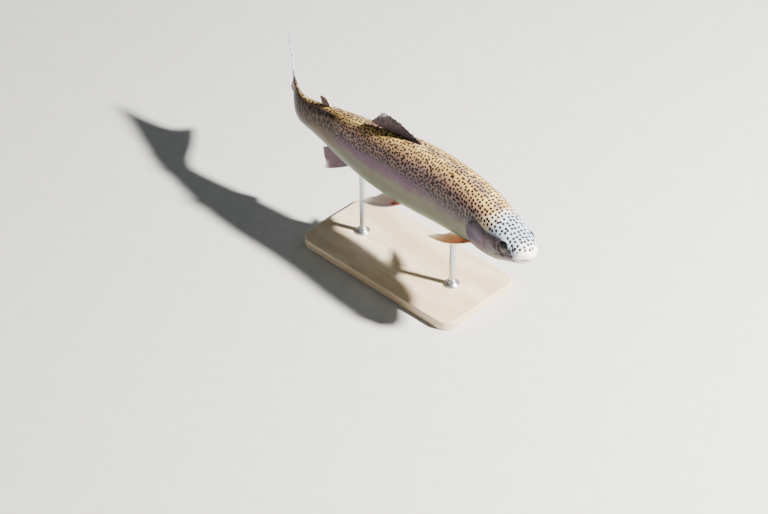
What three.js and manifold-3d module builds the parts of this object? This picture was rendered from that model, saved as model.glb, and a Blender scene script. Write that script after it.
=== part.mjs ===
// A life-size rainbow trout, swimming with its tail swept to its left, on a two-rod display stand.
// Millimetres, +Z up, the head towards +X and the fish's right flank towards -Y. The origin is the
// centre of the stand's underside.
//
// The fish is first built straight: "along" is the distance back from the snout tip, "out" the distance
// to the fish's left of its middle plane, "up" the height over its lateral line. Every piece is then
// bent to the swimming pose by the spine, so the cuts between the pieces stay clean.
import * as THREE from "three";
import { mergeVertices } from "three/addons/utils/BufferGeometryUtils.js";
import Module from "manifold-3d";

const wasm = await Module();
wasm.setup();

// ---------------------------------------------------------------- driving dimensions
const BODY_LENGTH = 345; // snout tip to the root of the tail fin
const BODY_DEPTH = 78.5; // deepest, just ahead of the dorsal fin
const BODY_WIDTH = 48; // widest, behind the gill covers
const WIDEST_UP = 1.5; // the widest line's height over the middle of a cross-section
const SWIM_HEIGHT = 114; // the lateral line over the floor
const GAP = 0.35; // left between neighbouring pieces

const EYE_DIAMETER = 13;
const EYE_ALONG = 24.5;
const EYE_UP = 8.1;
const EYE_PROUD = 2.6; // how far the eye bulges out of the cheek

const SNOUT_ROUNDING = 13; // length over which the snout rounds off
const NAPE = 63; // where the scaled back starts
const TRUNK_HALVES = 166; // where the front half of the trunk ends
const VENT = 249; // where the tail stalk starts

const BASE = { length: 200, width: 100, height: 10, corner: 14, edge: 1 };
const BASE_ALONG = 178; // the point of the body over the middle of the base
const ROD_RADIUS = 3;
const ROD_PLACES = { front: 118, rear: 238 };

// Shares of the body's length, then the back's and the belly's height as shares of its depth, then the
// half width as a share of its width.
const PROFILE = [
  [0.0, 0.125, -0.06, 0.19],
  [0.035, 0.19, -0.115, 0.28],
  [0.085, 0.275, -0.222, 0.368],
  [0.13, 0.342, -0.322, 0.423],
  [0.18, 0.398, -0.372, 0.454],
  [0.25, 0.452, -0.403, 0.474],
  [0.35, 0.495, -0.444, 0.487],
  [0.465, 0.508, -0.472, 0.484],
  [0.595, 0.46, -0.455, 0.438],
  [0.74, 0.376, -0.367, 0.322],
  [0.84, 0.295, -0.27, 0.212],
  [0.92, 0.238, -0.21, 0.14],
  [1.0, 0.25, -0.235, 0.072],
];

// How square each cross-section is above and below its widest line: 2 is an ellipse.
const SQUARENESS = [
  [0.0, 2.3, 2.0],
  [0.085, 2.5, 1.8],
  [0.18, 2.3, 1.8],
  [0.3, 2.1, 2.05],
  [1.0, 2.05, 2.0],
];

// The spine's heading in degrees at points along the body: 0 is +X, and more turns to the fish's left.
const HEADINGS = [
  [0, -12.3],
  [55, -12.9],
  [110, -5.5],
  [170, 2.1],
  [230, -0.6],
  [280, -2],
  [309, -1.8],
  [335, -28.5],
  [357, -46],
  [382, -33],
  [412, -26],
];

// ---------------------------------------------------------------- curves
// A smooth curve through points of rising x that never overshoots them, as a function of x.
function curveThrough(points) {
  const x = points.map((p) => p[0]);
  const y = points.map((p) => p[1]);
  const slope = x.slice(1).map((v, i) => (y[i + 1] - y[i]) / (v - x[i]));
  const tangent = x.map((_, i) => {
    const before = slope[Math.max(i - 1, 0)];
    const after = slope[Math.min(i, slope.length - 1)];
    return before * after > 0 ? (2 * before * after) / (before + after) : 0;
  });
  return (at) => {
    const v = THREE.MathUtils.clamp(at, x[0], x.at(-1));
    const i = Math.max(x.findLastIndex((p) => p < v), 0);
    const h = x[i + 1] - x[i];
    const t = (v - x[i]) / h;
    const rise = (3 - 2 * t) * t * t;
    const bulge = t * (1 - t) * ((1 - t) * tangent[i] - t * tangent[i + 1]) * h;
    return y[i] + (y[i + 1] - y[i]) * rise + bulge;
  };
}

const column = (table, n) => curveThrough(table.map((row) => [row[0], row[n]]));
const back = column(PROFILE, 1);
const belly = column(PROFILE, 2);
const halfWidth = column(PROFILE, 3);
const squareAbove = column(SQUARENESS, 1);
const squareBelow = column(SQUARENESS, 2);
const heading = curveThrough(HEADINGS);

const backAt = (along) => BODY_DEPTH * back(along / BODY_LENGTH);
const bellyAt = (along) => BODY_DEPTH * belly(along / BODY_LENGTH);

// The straight body's surface: turn runs from 0 on the back through a half turn at the belly, and
// grow moves the surface outwards.
function onBody(along, turn, grow = 0) {
  const share = along / BODY_LENGTH;
  const end = Math.min(along / SNOUT_ROUNDING, 1);
  const snout = Math.sqrt(1 - (1 - end) ** 2);
  const top = backAt(along);
  const bottom = bellyAt(along);
  const middle = (top + bottom) / 2 + WIDEST_UP;
  const up = Math.cos(turn);
  const out = -Math.sin(turn);
  const square = up > 0 ? squareAbove(share) : squareBelow(share);
  const reach = snout * (up > 0 ? top - middle : middle - bottom) + grow;
  const wide = snout * BODY_WIDTH * halfWidth(share) + grow;
  return new THREE.Vector3(
    -along,
    wide * Math.sign(out) * Math.abs(out) ** (2 / square),
    middle + reach * Math.sign(up) * Math.abs(up) ** (2 / square),
  );
}

// ---------------------------------------------------------------- solids
// A copy of a geometry's points with a move applied to each.
function moved(geometry, move) {
  const place = geometry.getAttribute("position");
  const point = new THREE.Vector3();
  for (let i = 0; i < place.count; i++) {
    const to = move(point.fromBufferAttribute(place, i));
    place.setXYZ(i, to.x, to.y, to.z);
  }
  return geometry;
}

function solidOf(geometry) {
  const loose = geometry.index ? geometry.toNonIndexed() : geometry;
  const bare = new THREE.BufferGeometry();
  bare.setAttribute("position", loose.getAttribute("position"));
  const merged = mergeVertices(bare, 1e-4);
  return new wasm.Manifold(
    new wasm.Mesh({
      numProp: 3,
      vertProperties: merged.getAttribute("position").array,
      triVerts: new Uint32Array(merged.index.array),
    }),
  );
}

function geometryOf(solid) {
  const mesh = solid.getMesh();
  const geometry = new THREE.BufferGeometry();
  geometry.setAttribute("position", new THREE.BufferAttribute(mesh.vertProperties, 3));
  return geometry.setIndex(new THREE.BufferAttribute(mesh.triVerts, 1));
}

// A length of the straight body, closed by flat ends. Rings crowd towards the front by crowding over 1.
function bodyLength(from, to, rings, { grow = 0, sides = 28, crowding = 1 } = {}) {
  const tube = new THREE.CylinderGeometry(1, 1, 1, sides, rings);
  const shape = (p) => {
    const along = from + (to - from) * Math.max(0.5 - p.y, 0) ** crowding;
    const onAxis = Math.hypot(p.x, p.z) < 0.5;
    if (!onAxis) return onBody(along, Math.atan2(p.x, p.z), grow);
    return onBody(along, 0, grow).add(onBody(along, Math.PI, grow)).divideScalar(2);
  };
  return solidOf(moved(tube, shape));
}

// A closed outline of [along, up] points as a prism across the fish, between two distances to its left.
function prismAcross(points, from, to) {
  const shape = new THREE.Shape(points.map(([along, up]) => new THREE.Vector2(-along, up)));
  const prism = new THREE.ExtrudeGeometry(shape, { depth: to - from, bevelEnabled: false });
  return solidOf(prism.rotateX(Math.PI / 2).translate(0, to, 0));
}

// The points of a closed outline moved outwards by a distance.
function outset(points, distance) {
  const ring = points.map(([a, u]) => new THREE.Vector2(a, u));
  const turning = Math.sign(THREE.ShapeUtils.area(ring));
  return ring.map((p, i) => {
    const before = ring[(i + ring.length - 1) % ring.length];
    const after = ring[(i + 1) % ring.length];
    const run = after.clone().sub(before).normalize();
    return [p.x + run.y * turning * distance, p.y - run.x * turning * distance];
  });
}

// A smooth closed outline through a few corners.
function roundOutline(corners, steps) {
  const ring = corners.map(([a, u]) => new THREE.Vector3(a, u, 0));
  const curve = new THREE.CatmullRomCurve3(ring, true, "centripetal");
  return curve.getPoints(steps).slice(0, -1).map((p) => [p.x, p.y]);
}

// ---------------------------------------------------------------- head
const SIDES = { left: 1, right: -1 };
const SNOUT_TIP = 0.02; // just off zero, where the first ring would close to a point
const CORE_START = 0.4; // where the solid core under the plates starts
const REAR_OF_GILLS = 92;
const PLATES_APART = 2; // from the middle plane to a plate's inner edge
const CLEAR_OF_BODY = 40; // a distance out from the middle plane that is outside the body

// The gill cover's edge, the upper jaw's side bone and the lower jaw, as seen from the side.
const GILL_OUTLINE = roundOutline(
  [
    [49, 12],
    [59, 17],
    [67.5, 11.5],
    [73, 2],
    [74, -8],
    [70.5, -18.5],
    [61, -26],
    [51, -25],
    [45.5, -14],
    [45, 0],
  ],
  26,
);
const JAW_BONE_OUTLINE = roundOutline(
  [
    [6, 5.4],
    [17, 2.6],
    [28, -2],
    [35, -5.8],
    [34.5, -9.2],
    [28, -7.2],
    [17, -2.4],
    [7, 1.8],
  ],
  18,
);
const LOWER_JAW = [
  [-4, 3.4],
  [7, 2.2],
  [17, -2],
  [28, -7],
  [35.5, -11],
  [34, -20],
  [30, -CLEAR_OF_BODY],
  [-4, -CLEAR_OF_BODY],
];

const eyeCentre = (side) => {
  const cheek = onBody(EYE_ALONG, Math.PI * 0.37).y;
  const out = Math.abs(cheek) + EYE_PROUD - EYE_DIAMETER * 0.4;
  return new THREE.Vector3(-EYE_ALONG, side * out, EYE_UP);
};

// An eyeball, a little flatter outwards than it is round.
function eyeball(side, grow = 0) {
  const ball = new THREE.SphereGeometry(1, 18, 12);
  const radius = EYE_DIAMETER / 2 + grow;
  ball.scale(radius, radius * 0.8, radius);
  const centre = eyeCentre(side);
  ball.translate(centre.x, centre.y, centre.z);
  return solidOf(ball);
}

// The room of a plate that lies in the skin behind an outline, with some spare round it.
function plateRoom({ outline, thickness }, side, spare = 0) {
  const depths = [side * (PLATES_APART - spare), side * CLEAR_OF_BODY].sort((a, b) => a - b);
  const prism = prismAcross(outset(outline, spare), ...depths);
  const coreRings = { grow: -thickness - spare, sides: 20, crowding: 1.3 };
  return prism.subtract(bodyLength(CORE_START, REAR_OF_GILLS + 6, 14, coreRings));
}

const GILL_COVER = { outline: GILL_OUTLINE, thickness: 4.2 };
const JAW_BONE = { outline: JAW_BONE_OUTLINE, thickness: 2.4 };
const wholeHead = bodyLength(SNOUT_TIP, NAPE - GAP / 2, 15, { crowding: 1.6 });
const headAndThroat = bodyLength(SNOUT_TIP, REAR_OF_GILLS, 20, { crowding: 1.5 });
const jawSolid = prismAcross(LOWER_JAW, -CLEAR_OF_BODY, CLEAR_OF_BODY);
const jawSpace = prismAcross(outset(LOWER_JAW, GAP), -CLEAR_OF_BODY, CLEAR_OF_BODY);

const gillCover = (side) => headAndThroat.intersect(plateRoom(GILL_COVER, side));
const gillSpace = (side) => plateRoom(GILL_COVER, side, GAP);
const jawBone = (side) => wholeHead.intersect(plateRoom(JAW_BONE, side));
const jawBoneSpace = (side) => plateRoom(JAW_BONE, side, GAP);
const eyeSpace = (side) => eyeball(side, GAP);
const without = (solid, room) =>
  Object.values(SIDES).reduce((rest, side) => rest.subtract(room(side)), solid);

const lowerJaw = without(wholeHead.intersect(jawSolid), jawBoneSpace);
const aboveTheMouth = wholeHead.subtract(jawSpace);
const skull = [jawBoneSpace, gillSpace, eyeSpace].reduce(without, aboveTheMouth);

// ---------------------------------------------------------------- trunk and tail stalk
const trunkFront = without(bodyLength(NAPE + GAP / 2, TRUNK_HALVES - GAP / 2, 9), gillSpace);
const trunkRear = bodyLength(TRUNK_HALVES + GAP / 2, VENT - GAP / 2, 7);
const tailStalk = bodyLength(VENT + GAP / 2, BODY_LENGTH, 12, { sides: 24 });

// ---------------------------------------------------------------- fins
// A fin is a fan of rays: share runs from its first ray to its last, and reach from root to tip. Each
// fin gives the root and tip of a ray and how far its first ray bows out, and its blade thins from root
// to tip across its flat side.
function fin({ rays, steps, root, tip, bow, flat, thick }) {
  const box = new THREE.BoxGeometry(1, 1, 1, rays, 1, steps);
  const shape = (p) => {
    const share = p.x + 0.5;
    const reach = p.z + 0.5;
    const half = THREE.MathUtils.lerp(thick[0], thick[1], reach) / 2;
    const arc = 4 * reach * (1 - reach) * (1 - share);
    const middle = root(share).lerp(tip(share), reach).addScaledVector(bow, arc);
    return middle.addScaledVector(flat, Math.sign(p.y) * half);
  };
  return solidOf(moved(box, shape));
}

// A fin's rounded front corner: from 0 at the first ray to 1 at a share of the way along.
const rounded = (share, corner) => Math.sqrt(1 - (1 - Math.min(share / corner, 1)) ** 2);
const point = (along, out, up) => new THREE.Vector3(-along, out, up);
const LEFT = new THREE.Vector3(0, 1, 0);
const RIGHT = new THREE.Vector3(0, -1, 0);
const STRAIGHT = new THREE.Vector3(0, 0, 0);

const FIN_THICKNESS = [1.8, 0.6];
const DORSAL = { from: 159, to: 200, back: [50, 25], up: [17.5, -0.5], lean: 2, bow: 3.5 };
const ANAL = { from: 250, to: 282, back: [46, 13], down: [26, 7], bow: 2 };
const ADIPOSE = { from: 280, to: 292, back: 5, up: 7.5 };
const CAUDAL = { length: 61, notch: 42, above: 42, below: 27, bow: 3 };

const dorsalFin = () =>
  fin({
    rays: 12,
    steps: 5,
    flat: RIGHT,
    bow: point(0, 0, DORSAL.bow),
    thick: FIN_THICKNESS,
    root: (share) => {
      const along = THREE.MathUtils.lerp(DORSAL.from, DORSAL.to, share);
      return point(along, 0, backAt(along) + GAP);
    },
    tip: (share) => {
      const along = THREE.MathUtils.lerp(DORSAL.from, DORSAL.to, share);
      const reach = 0.85 + 0.15 * rounded(share, 0.3);
      const behind = THREE.MathUtils.lerp(DORSAL.back[0], DORSAL.back[1], share ** 0.8);
      const above = THREE.MathUtils.lerp(DORSAL.up[0], DORSAL.up[1], share);
      return point(along + behind * reach, -DORSAL.lean * reach, backAt(along) + GAP + above * reach);
    },
  });

const analFin = () =>
  fin({
    rays: 9,
    steps: 4,
    flat: LEFT,
    bow: point(0, 0, -ANAL.bow),
    thick: FIN_THICKNESS,
    root: (share) => {
      const along = THREE.MathUtils.lerp(ANAL.from, ANAL.to, share);
      return point(along, 0, bellyAt(along) - GAP);
    },
    tip: (share) => {
      const along = THREE.MathUtils.lerp(ANAL.from, ANAL.to, share);
      const reach = 0.9 + 0.1 * rounded(share, 0.2);
      const behind = THREE.MathUtils.lerp(ANAL.back[0], ANAL.back[1], share ** 0.7);
      const below = THREE.MathUtils.lerp(ANAL.down[0], ANAL.down[1], share);
      return point(along + behind * reach, 0, bellyAt(along) - GAP - below * reach);
    },
  });

const adiposeFin = () =>
  fin({
    rays: 6,
    steps: 4,
    flat: RIGHT,
    bow: STRAIGHT,
    thick: [2.8, 1.8],
    root: (share) => {
      const along = THREE.MathUtils.lerp(ADIPOSE.from, ADIPOSE.to, share);
      return point(along, 0, backAt(along) + GAP);
    },
    tip: (share) => {
      const along = THREE.MathUtils.lerp(ADIPOSE.from, ADIPOSE.to, share);
      const high = 0.25 + 0.75 * Math.sqrt(Math.sin(Math.PI * (0.12 + 0.5 * share)));
      return point(along + ADIPOSE.back, 0, backAt(along) + GAP + ADIPOSE.up * high);
    },
  });

const caudalFin = () =>
  fin({
    rays: 14,
    steps: 6,
    flat: RIGHT,
    bow: point(0, -CAUDAL.bow, 0),
    thick: [2.8, 1],
    root: (share) => {
      const up = THREE.MathUtils.lerp(backAt(BODY_LENGTH), bellyAt(BODY_LENGTH), share);
      return point(BODY_LENGTH + GAP, 0, up);
    },
    tip: (share) => {
      const side = 1 - 2 * share;
      const fork = CAUDAL.notch + (CAUDAL.length - CAUDAL.notch) * Math.abs(side) ** 1.3;
      const corner = 0.9 + 0.1 * rounded(1 - Math.abs(side), 0.12);
      const spread = side > 0 ? CAUDAL.above : -CAUDAL.below;
      const up = spread * Math.abs(side) ** 0.85;
      return point(BODY_LENGTH + GAP + fork * corner, 0, up * corner + 0.5);
    },
  });

// The paired fins sit on the body's surface at a turn from the back. Their first ray is the outermost,
// and their blades lie nearly level, folded back along the body.
const PECTORAL = {
  rays: 9,
  root: { along: [69, 76], turn: [0.7, 0.77] },
  bow: { out: 2, down: 6 },
  first: { back: 57, out: 14.5, down: 16 },
  last: { back: 28, out: 2, down: 3 },
};
const PELVIC = {
  rays: 8,
  root: { along: [173, 183], turn: [0.81, 0.88] },
  bow: { out: 2, down: 5 },
  first: { back: 50, out: 9, down: 15.5 },
  last: { back: 24, out: -5, down: 4 },
};

const grownBody = bodyLength(60, 250, 24, { grow: GAP });

function pairedFin({ rays, root, bow, first, last }, side) {
  const onFlank = (share, grow) => {
    const along = THREE.MathUtils.lerp(...root.along, share);
    const turn = Math.PI * THREE.MathUtils.lerp(...root.turn, share);
    const at = onBody(along, turn, grow);
    return point(along, side * Math.abs(at.y), at.z);
  };
  const blade = fin({
    rays,
    steps: 5,
    flat: new THREE.Vector3(0, 0.35, side).normalize(),
    bow: point(0, side * bow.out, -bow.down),
    thick: FIN_THICKNESS,
    root: (share) => onFlank(share, -1.5),
    tip: (share) => {
      const reach = 0.92 + 0.08 * rounded(share, 0.25);
      const fold = share ** 0.8;
      const behind = THREE.MathUtils.lerp(first.back, last.back, fold);
      const outwards = THREE.MathUtils.lerp(first.out, last.out, fold);
      const below = THREE.MathUtils.lerp(first.down, last.down, fold);
      return onFlank(share, 0).add(point(behind, side * outwards, -below).multiplyScalar(reach));
    },
  });
  const outside = blade.subtract(grownBody).decompose();
  return outside.reduce((a, b) => (a.volume() > b.volume() ? a : b));
}

// ---------------------------------------------------------------- pose
// The spine in the row frame: its points and headings one millimetre apart.
function spine() {
  const places = [];
  const at = new THREE.Vector2();
  for (let along = 0; along <= BODY_LENGTH + CAUDAL.length + 10; along++) {
    const angle = THREE.MathUtils.degToRad(heading(along));
    places.push({ x: at.x, y: at.y, angle });
    const next = THREE.MathUtils.degToRad(heading(along + 0.5));
    at.x -= Math.cos(next);
    at.y -= Math.sin(next);
  }
  return places;
}
const SPINE = spine();

// A point of the straight fish, carried to the swimming pose over the stand.
function toPose(p) {
  const along = Math.max(-p.x, 0);
  const i = Math.min(Math.floor(along), SPINE.length - 2);
  const t = along - i;
  const x = THREE.MathUtils.lerp(SPINE[i].x, SPINE[i + 1].x, t);
  const y = THREE.MathUtils.lerp(SPINE[i].y, SPINE[i + 1].y, t);
  const angle = THREE.MathUtils.lerp(SPINE[i].angle, SPINE[i + 1].angle, t);
  const middle = SPINE[BASE_ALONG];
  return new THREE.Vector3(
    x - middle.x - p.y * Math.sin(angle),
    y - middle.y + p.y * Math.cos(angle),
    SWIM_HEIGHT + p.z,
  );
}

// ---------------------------------------------------------------- stand
function standBase() {
  const { length, width, height, corner, edge } = BASE;
  const x = length / 2 - edge;
  const y = width / 2 - edge;
  const shape = new THREE.Shape();
  shape.moveTo(-x + corner, -y);
  shape.absarc(x - corner, -y + corner, corner, -Math.PI / 2, 0);
  shape.absarc(x - corner, y - corner, corner, 0, Math.PI / 2);
  shape.absarc(-x + corner, y - corner, corner, Math.PI / 2, Math.PI);
  shape.absarc(-x + corner, -y + corner, corner, Math.PI, 1.5 * Math.PI);
  const slab = new THREE.ExtrudeGeometry(shape, {
    depth: height - 2 * edge,
    bevelSize: edge,
    bevelThickness: edge,
    bevelSegments: 1,
    curveSegments: 6,
  });
  return slab.translate(0, 0, edge);
}

// A rod from the base up to the belly, which it meets with its flat end.
function rod(along) {
  const foot = BASE.height + GAP;
  const lowest = Math.min(bellyAt(along - ROD_RADIUS), bellyAt(along + ROD_RADIUS));
  const at = toPose(point(along, 0, lowest));
  const head = at.z - GAP;
  const bar = new THREE.CylinderGeometry(ROD_RADIUS, ROD_RADIUS, head - foot, 24);
  return bar.rotateX(Math.PI / 2).translate(at.x, at.y, (head + foot) / 2);
}

// ---------------------------------------------------------------- materials
const finish = (color, roughness, metalness = 0) =>
  new THREE.MeshStandardMaterial({ color, roughness, metalness });
const MATERIALS = {
  skin: finish(0xb9a888, 0.4),
  head: finish(0xc9cdca, 0.38),
  gillCover: finish(0x9a8c98, 0.35),
  jaw: finish(0xdedcd6, 0.4),
  eye: finish(0x15130f, 0.08),
  dorsalFin: finish(0x6d5a52, 0.5),
  pairedFin: finish(0xb98a6c, 0.5),
  tailFin: finish(0x9a9c98, 0.5),
  base: finish(0xd8d5ce, 0.6),
  rod: finish(0xb4b6b8, 0.35, 1),
};

// ---------------------------------------------------------------- the trout
const trout = new THREE.Group();

function add(name, geometry, material) {
  const mesh = new THREE.Mesh(geometry, material);
  mesh.name = name;
  trout.add(mesh);
}
const addFlesh = (name, solid, material) =>
  add(name, moved(geometryOf(solid), toPose), material);

addFlesh("head", skull, MATERIALS.head);
addFlesh("lower_jaw", lowerJaw, MATERIALS.jaw);
addFlesh("trunk_front", trunkFront, MATERIALS.skin);
addFlesh("trunk_rear", trunkRear, MATERIALS.skin);
addFlesh("tail_stalk", tailStalk, MATERIALS.skin);
addFlesh("dorsal_fin", dorsalFin(), MATERIALS.dorsalFin);
addFlesh("adipose_fin", adiposeFin(), MATERIALS.dorsalFin);
addFlesh("caudal_fin", caudalFin(), MATERIALS.tailFin);
addFlesh("anal_fin", analFin(), MATERIALS.pairedFin);
for (const [name, side] of Object.entries(SIDES)) {
  addFlesh("eye_" + name, eyeball(side), MATERIALS.eye);
  addFlesh("jaw_bone_" + name, jawBone(side), MATERIALS.jaw);
  addFlesh("gill_cover_" + name, gillCover(side), MATERIALS.gillCover);
  addFlesh("pectoral_fin_" + name, pairedFin(PECTORAL, side), MATERIALS.pairedFin);
  addFlesh("pelvic_fin_" + name, pairedFin(PELVIC, side), MATERIALS.pairedFin);
}
add("stand_base", standBase(), MATERIALS.base);
for (const [name, along] of Object.entries(ROD_PLACES)) {
  add("stand_rod_" + name, rod(along), MATERIALS.rod);
}

export default trout;
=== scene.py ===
import math

import bpy
import numpy as np
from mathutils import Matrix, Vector


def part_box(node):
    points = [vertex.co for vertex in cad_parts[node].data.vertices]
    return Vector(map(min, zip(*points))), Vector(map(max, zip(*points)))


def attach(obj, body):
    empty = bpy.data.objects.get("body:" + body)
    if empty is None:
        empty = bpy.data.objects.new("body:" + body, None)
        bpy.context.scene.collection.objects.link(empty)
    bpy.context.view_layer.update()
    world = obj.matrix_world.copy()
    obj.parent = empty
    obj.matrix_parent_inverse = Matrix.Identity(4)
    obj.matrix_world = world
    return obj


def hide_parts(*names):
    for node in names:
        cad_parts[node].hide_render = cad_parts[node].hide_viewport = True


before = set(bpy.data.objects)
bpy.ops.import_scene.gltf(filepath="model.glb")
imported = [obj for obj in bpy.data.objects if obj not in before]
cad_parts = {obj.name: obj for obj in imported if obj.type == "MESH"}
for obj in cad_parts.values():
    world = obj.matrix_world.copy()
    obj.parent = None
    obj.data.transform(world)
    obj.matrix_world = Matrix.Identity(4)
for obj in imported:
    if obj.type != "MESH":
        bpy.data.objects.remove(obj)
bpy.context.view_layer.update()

# ---------------------------------------------------------------- skin
# The hide of the trout from the lips to the root of the tail fin: one closed skin, cast and painted over
# a carved form, with the folds of the mouth, the jaw bone, the eye rims, the nostrils and the gill
# covers raised in it. It is shaped straight, in millimetres as (along, out, up) from the snout tip, the
# middle plane and the lateral line, and is then bent to the swimming pose.
MM = 0.001
BODY_LENGTH = 345
BODY_DEPTH = 78.5
BODY_WIDTH = 48
WIDEST_UP = 1.5
SNOUT_ROUNDING = 13
TAIL_ROUNDING = 9
SWIM_HEIGHT = 114
BASE_ALONG = 178

# Shares of the body's length, then the back's and the belly's height as shares of its depth, then the
# half width as a share of its width.
PROFILE = [
    (0.0, 0.125, -0.06, 0.19),
    (0.035, 0.19, -0.115, 0.28),
    (0.085, 0.275, -0.222, 0.368),
    (0.13, 0.342, -0.322, 0.423),
    (0.18, 0.398, -0.372, 0.454),
    (0.25, 0.452, -0.403, 0.474),
    (0.35, 0.495, -0.444, 0.487),
    (0.465, 0.508, -0.472, 0.484),
    (0.595, 0.46, -0.455, 0.438),
    (0.74, 0.376, -0.367, 0.322),
    (0.84, 0.295, -0.27, 0.212),
    (0.92, 0.238, -0.21, 0.14),
    (1.0, 0.25, -0.235, 0.072),
]
# How square each cross-section is above and below its widest line: 2 is an ellipse.
SQUARENESS = [
    (0.0, 2.3, 2.0),
    (0.085, 2.5, 1.8),
    (0.18, 2.3, 1.8),
    (0.3, 2.1, 2.05),
    (1.0, 2.05, 2.0),
]
# The spine's heading in degrees: 0 is +X, and more turns to the fish's left.
HEADINGS = [
    (0, -12.3),
    (55, -12.9),
    (110, -5.5),
    (170, 2.1),
    (230, -0.6),
    (280, -2),
    (309, -1.8),
    (335, -28.5),
    (357, -46),
    (382, -33),
    (412, -26),
]


def curve_through(points):
    """A smooth curve through points of rising x: between two points a cubic, whose slope at each is the
    harmonic mean of the straight slopes on its two sides, so that it never overshoots."""
    x, y = np.array(points, float).T
    slope = np.diff(y) / np.diff(x)
    before = np.r_[slope[0], slope]
    after = np.r_[slope, slope[-1]]
    rising = before * after > 0
    tangent = np.where(rising, 2 * before * after / np.where(rising, before + after, 1), 0)

    def curve(at):
        v = np.clip(at, x[0], x[-1])
        i = np.clip(np.searchsorted(x, v) - 1, 0, len(x) - 2)
        h = x[i + 1] - x[i]
        t = (v - x[i]) / h
        bulge = t * (1 - t) * ((1 - t) * tangent[i] - t * tangent[i + 1]) * h
        return y[i] + (y[i + 1] - y[i]) * (3 - 2 * t) * t * t + bulge

    return curve


def column(table, n):
    return curve_through([(row[0], row[n]) for row in table])


back, belly, half_width = (column(PROFILE, n) for n in (1, 2, 3))
square_above, square_below = (column(SQUARENESS, n) for n in (1, 2))


def back_at(along):
    return BODY_DEPTH * back(along / BODY_LENGTH)


def belly_at(along):
    return BODY_DEPTH * belly(along / BODY_LENGTH)


def body_form(along, turn):
    """The straight body's bare form. Each cross-section is a superellipse round the widest line, with
    one height above it and another below, shrunk to a point over the snout's rounding by a quarter
    circle. The turn runs from 0 on the back to pi on the belly, positive on the fish's left."""
    share = along / BODY_LENGTH
    snout = np.sqrt(1 - (1 - np.clip(along / SNOUT_ROUNDING, 0, 1)) ** 2)
    past = np.clip((along - BODY_LENGTH) / TAIL_ROUNDING, 0, 1)
    top = back_at(along)
    bottom = belly_at(along)
    middle = (top + bottom) / 2 + WIDEST_UP
    up = np.cos(turn)
    out = np.sin(turn)
    square = np.where(up > 0, square_above(share), square_below(share))
    reach = snout * np.where(up > 0, top - middle, middle - bottom) * np.sqrt(1 - past**8)
    wide = snout * BODY_WIDTH * half_width(share) * np.sqrt(1 - past**2)
    across = wide * np.sign(out) * np.abs(out) ** (2 / square)
    height = middle + reach * np.sign(up) * np.abs(up) ** (2 / square)
    return np.stack([along + 0 * turn, across, height], -1)


def unit(vectors):
    return vectors / np.maximum(np.linalg.norm(vectors, axis=-1, keepdims=True), 1e-12)


def body_facing(along, turn):
    """The outward normals of the bare form: the cross product of its two small steps."""
    step = 0.01
    back_step = body_form(along + step, turn) - body_form(np.maximum(along - step, 0), turn)
    round_step = body_form(along, turn + step) - body_form(along, turn - step)
    return unit(np.cross(back_step, round_step))


def ramp(value, low, high):
    """0 below low, 1 above high, and smooth between them."""
    t = np.clip((value - low) / (high - low), 0, 1)
    return t * t * (3 - 2 * t)


def bell(value, width):
    """1 at zero, falling off as a Gauss curve of that width."""
    return np.exp(-((value / width) ** 2))


def from_chain(along, up, chain):
    """The distance in the side view from each point to the nearest stretch of a chain of points."""
    nearest = np.full(np.shape(along), np.inf)
    for (a0, u0), (a1, u1) in zip(chain[:-1], chain[1:]):
        run = (a1 - a0) ** 2 + (u1 - u0) ** 2
        t = np.clip(((along - a0) * (a1 - a0) + (up - u0) * (u1 - u0)) / run, 0, 1)
        away = np.hypot(along - a0 - t * (a1 - a0), up - u0 - t * (u1 - u0))
        nearest = np.minimum(nearest, away)
    return nearest


def into_outline(along, up, outline):
    """How far each point is inside a closed outline in the side view, less than zero outside it: the
    distance to the outline, signed by how many of its edges a line straight up crosses."""
    crossed = np.zeros(np.shape(along), int)
    for (a0, u0), (a1, u1) in zip(outline, outline[1:] + outline[:1]):
        spans = (a0 > along) != (a1 > along)
        height = u0 + (along - a0) * (u1 - u0) / (a1 - a0 if a1 != a0 else 1)
        crossed += spans & (height > up)
    away = from_chain(along, up, outline + outline[:1])
    return np.where(crossed % 2 == 1, away, -away)


def smooth_ring(corners, steps=6):
    """A closed outline through a few corners: a Catmull-Rom curve with that many points a corner."""
    ring = np.array(corners, float)
    t = np.arange(steps)[:, None] / steps
    points = []
    for i in range(len(ring)):
        a, b, c, d = (ring[(i + k) % len(ring)] for k in (-1, 0, 1, 2))
        bend = (2 * a - 5 * b + 4 * c - d) * t**2 + (3 * b - a - 3 * c + d) * t**3
        points.extend((b + ((c - a) * t + bend) / 2).tolist())
    return points


EYE_DIAMETER = 13
EYE_ALONG = 24.5
EYE_UP = 8.1
EYE_PROUD = 2.6
EYE_OPENING = 5.6
GILL_COVER = smooth_ring(
    [(49, 12), (59, 17), (67.5, 11.5), (73, 2), (74, -8)]
    + [(70.5, -18.5), (61, -26), (51, -25), (45.5, -14), (45, 0)]
)
JAW_BONE = smooth_ring(
    [(6, 5.4), (17, 2.6), (28, -2), (35, -5.8), (34.5, -9.2), (28, -7.2), (17, -2.4), (7, 1.8)]
)
MOUTH_LINE = curve_through([(-4, 3.4), (7, 2.2), (17, -2), (28, -7), (35.5, -11)])
MOUTH_CORNER = 33
CHEEK_RIDGE = [(49, 13), (46.5, 4), (46, -6), (44, -15), (38, -20.5), (30, -21)]
LOWER_PLATE = [(47, -12), (56, -14.5), (65, -13), (73, -8)]
GILL_RAYS = [
    [(38, -20), (47, -25.5), (56, -29), (63, -30)],
    [(34, -20.5), (44, -27.5), (54, -31.5), (62, -32.5)],
]
EYE_BONES = [[(31, 2), (36, 6), (38, 11)], [(31, 1), (37, -1), (43, -1)], [(29, -0.5), (33, -5), (36, -12)]]
NOSTRILS = [(12.6, 10.6, 0.75), (15.2, 11.6, 0.95)]
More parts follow.
